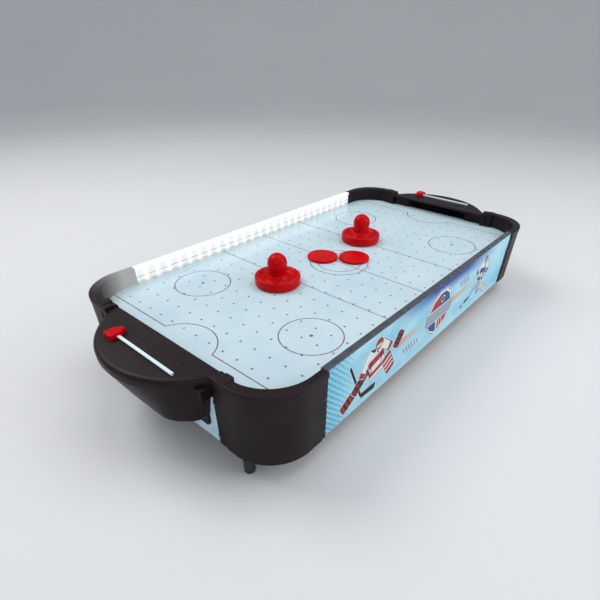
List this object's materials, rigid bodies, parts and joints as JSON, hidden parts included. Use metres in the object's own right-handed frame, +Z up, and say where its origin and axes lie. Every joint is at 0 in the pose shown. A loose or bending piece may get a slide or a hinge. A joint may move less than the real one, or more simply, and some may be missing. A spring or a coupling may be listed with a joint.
{
  "type": "tabletop air hockey",
  "caption": "Tabletop air hockey with perforated rink, lit side rails, rounded black corners, D-shaped goals with sliding score pointers, pushers and pucks.",
  "frame": {"origin": "centre of the footprint, on the surface the rubber feet stand on", "axes": "+X along the rink, +Y across it, +Z up"},
  "size_m": [0.682, 0.3148, 0.1237],
  "materials": {
    "playfield_print": "printed and lacquered board",
    "fibreboard": "raw fibreboard",
    "foam": "closed-cell foam strip",
    "panel_print": "printed film on board",
    "black_plastic": "moulded, fine grain",
    "light_cover": "frosted, lit from behind",
    "circuit_board": "solder mask",
    "led": "lit",
    "white_plastic": "moulded",
    "red_plastic": "moulded, polished",
    "felt": "pressed felt",
    "rubber_foot": "moulded",
    "screw_steel": "zinc plated",
    "motor_can": "drawn can",
    "contact_metal": "sprung strip",
    "cell_wrap": "shrink sleeve",
    "wire_insulation": "twin lead"
  },
  "bodies": {
    "table": {"playfield_board": "playfield_print", "base_board": "fibreboard", "deck_seal": "foam", "side_panel_near": "panel_print", "battens_near": "fibreboard", "side_rail_near": "black_plastic", "light_cover_near": "light_cover", "led_board_near": "circuit_board", "leds_near": "led", "side_panel_far": "panel_print", "battens_far": "fibreboard", "side_rail_far": "black_plastic", "light_cover_far": "light_cover", "led_board_far": "circuit_board", "leds_far": "led", "end_panel_left": "panel_print", "battens_left": "fibreboard", "goal_cover_left": "black_plastic", "goal_tray_left": "black_plastic", "score_rail_left": "white_plastic", "goal_screws_left": "screw_steel", "corner_near_left": "black_plastic", "foot_near_left": "rubber_foot", "corner_far_left": "black_plastic", "foot_far_left": "rubber_foot", "end_panel_right": "panel_print", "battens_right": "fibreboard", "goal_cover_right": "black_plastic", "goal_tray_right": "black_plastic", "score_rail_right": "white_plastic", "goal_screws_right": "screw_steel", "corner_near_right": "black_plastic", "foot_near_right": "rubber_foot", "corner_far_right": "black_plastic", "foot_far_right": "rubber_foot", "corner_screws": "screw_steel", "fan_shroud": "black_plastic", "fan_motor": "motor_can", "intake_grille": "black_plastic", "base_screws": "screw_steel", "battery_box": "black_plastic", "battery_cells": "cell_wrap", "battery_contacts": "contact_metal", "switch_body": "black_plastic", "control_board": "circuit_board", "fan_lead": "wire_insulation", "power_leads": "wire_insulation", "light_leads": "wire_insulation"},
    "score_counter_left": {"score_slider_left": "red_plastic"},
    "score_counter_right": {"score_slider_right": "red_plastic"},
    "impeller": {"fan_impeller": "white_plastic", "motor_shaft": "screw_steel"},
    "battery_hatch": {"battery_door": "black_plastic"},
    "rocker": {"switch_rocker": "red_plastic"},
    "pusher_left": {"pusher_left": "red_plastic", "pusher_left_felt": "felt"},
    "pusher_right": {"pusher_right": "red_plastic", "pusher_right_felt": "felt"},
    "puck_left": {"puck_left": "red_plastic"},
    "puck_right": {"puck_right": "red_plastic"}
  },
  "joints": [
    {"name": "score_left_slide", "type": "slide", "parent": "table", "child": "score_counter_left", "axis": [0, 1, 0], "range_m": [-0.086, 0]},
    {"name": "score_right_slide", "type": "slide", "parent": "table", "child": "score_counter_right", "axis": [0, 1, 0], "range_m": [-0.086, 0]},
    {"name": "fan_spin", "type": "hinge", "parent": "table", "child": "impeller", "pos_m": [0, 0, 0.039], "axis": [0, 0, 1], "continuous": true},
    {"name": "battery_door_slide", "type": "slide", "parent": "table", "child": "battery_hatch", "axis": [1, 0, 0], "range_m": [0, 0.07]},
    {"name": "switch_rock", "type": "hinge", "parent": "table", "child": "rocker", "pos_m": [0.15, 0.1535, 0.052], "axis": [0, 0, 1], "range_deg": [-16, 0]},
    {"name": "pusher_left_slide", "type": "slide", "parent": "table", "child": "pusher_left", "axis": [1, 0, 0], "range_m": [-0.15, 0.043]},
    {"name": "pusher_right_slide", "type": "slide", "parent": "table", "child": "pusher_right", "axis": [1, 0, 0], "range_m": [-0.022, 0.165]},
    {"name": "puck_left_slide", "type": "slide", "parent": "table", "child": "puck_left", "axis": [0, 1, 0], "range_m": [0, 0.098]},
    {"name": "puck_right_slide", "type": "slide", "parent": "table", "child": "puck_right", "axis": [0, 1, 0], "range_m": [-0.115, 0]}
  ]
}
